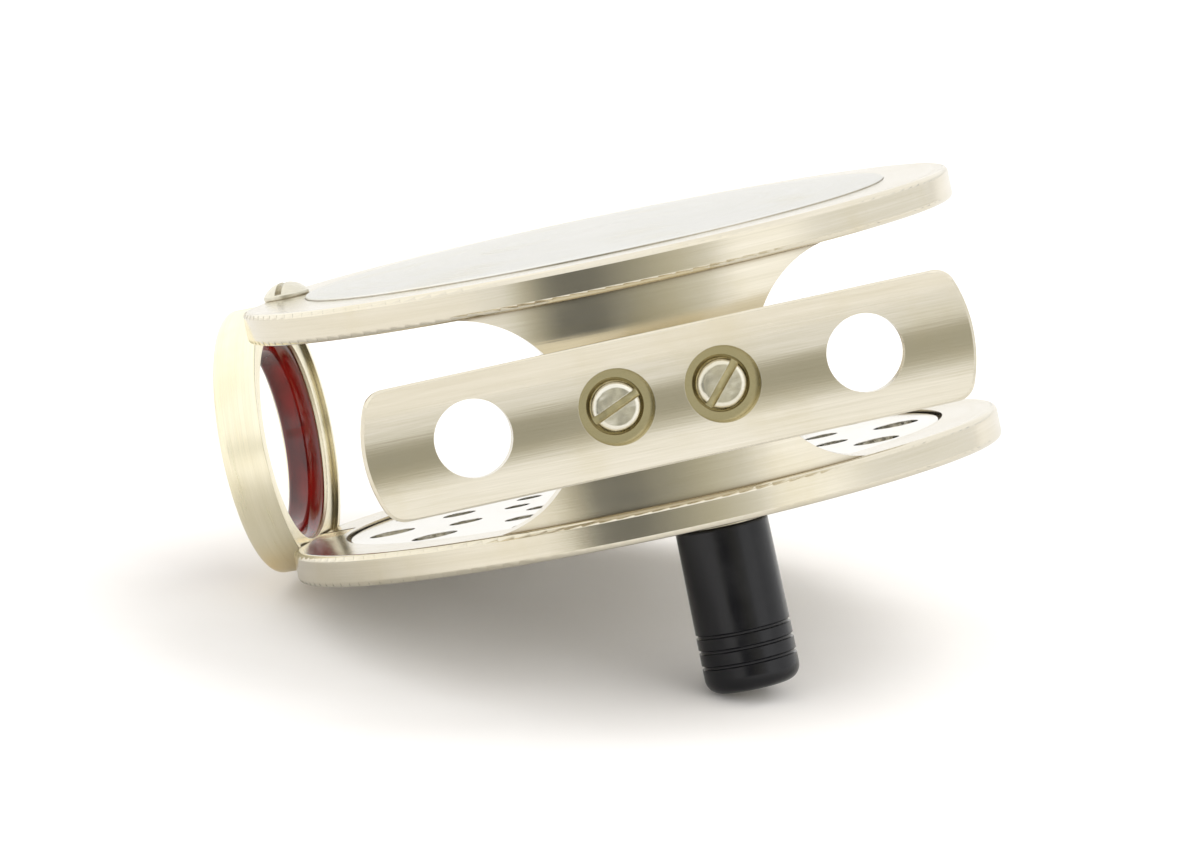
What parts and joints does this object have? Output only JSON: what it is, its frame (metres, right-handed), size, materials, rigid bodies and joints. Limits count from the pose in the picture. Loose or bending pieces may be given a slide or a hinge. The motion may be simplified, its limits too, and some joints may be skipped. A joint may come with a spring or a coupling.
{
  "type": "fly fishing reel",
  "caption": "Classic trout fly reel: caged metal frame with saddle foot, ring line guard, ported spool turning on a fixed spindle, click pawl and free-turning crank handle.",
  "frame": {"origin": "on the spool axis, at the middle of the reel's width between its two rims", "axes": "+Z along the spool axis towards the back plate, -Y towards the foot, the crank handle on the -Z side"},
  "size_m": [0.0812, 0.0818, 0.0495],
  "materials": {
    "frame_metal": "brushed nickel silver",
    "spool_metal": "polished nickel silver",
    "guard_metal": "satin pale brass",
    "agate": "polished red agate",
    "handle_black": "gloss black hard rubber",
    "screw_steel": "nickel plated",
    "spindle_steel": "ground steel",
    "bush_brass": "turned bronze",
    "click_steel": "hardened steel"
  },
  "bodies": {
    "frame_body": {"frame": "frame_metal", "back_plate": "frame_metal", "back_plate_screws": "screw_steel", "reel_foot": "frame_metal", "foot_screws": "screw_steel", "guard_bezel": "guard_metal", "guard_agate": "agate", "guard_retaining_ring": "guard_metal", "guard_screws": "screw_steel", "spindle": "spindle_steel", "spindle_screws": "screw_steel", "thrust_washer": "bush_brass", "spool_washer": "bush_brass", "spool_screw": "screw_steel", "pawl_screw": "screw_steel", "click_spring": "click_steel", "spring_screw": "screw_steel"},
    "spool_body": {"spool": "spool_metal", "rear_bush": "bush_brass", "front_bush": "bush_brass", "click_gear": "click_steel", "gear_screws": "screw_steel", "handle_post": "spindle_steel", "handle_collar": "frame_metal", "handle_screw": "screw_steel"},
    "handle_body": {"handle_knob": "handle_black"},
    "pawl_body": {"click_pawl": "click_steel"}
  },
  "joints": [
    {"name": "spool_spin", "type": "hinge", "parent": "frame_body", "child": "spool_body", "pos_m": [0, 0, 0], "axis": [0, 0, 1], "continuous": true},
    {"name": "handle_spin", "type": "hinge", "parent": "spool_body", "child": "handle_body", "pos_m": [0.00455, -0.0205, -0.024], "axis": [0, 0, 1], "continuous": true},
    {"name": "pawl_rock", "type": "hinge", "parent": "frame_body", "child": "pawl_body", "pos_m": [0, 0.0142, 0.0135], "axis": [0, 0, 1], "range_deg": [-14, 14], "stiffness_Nm_per_rad": 0.002}
  ]
}
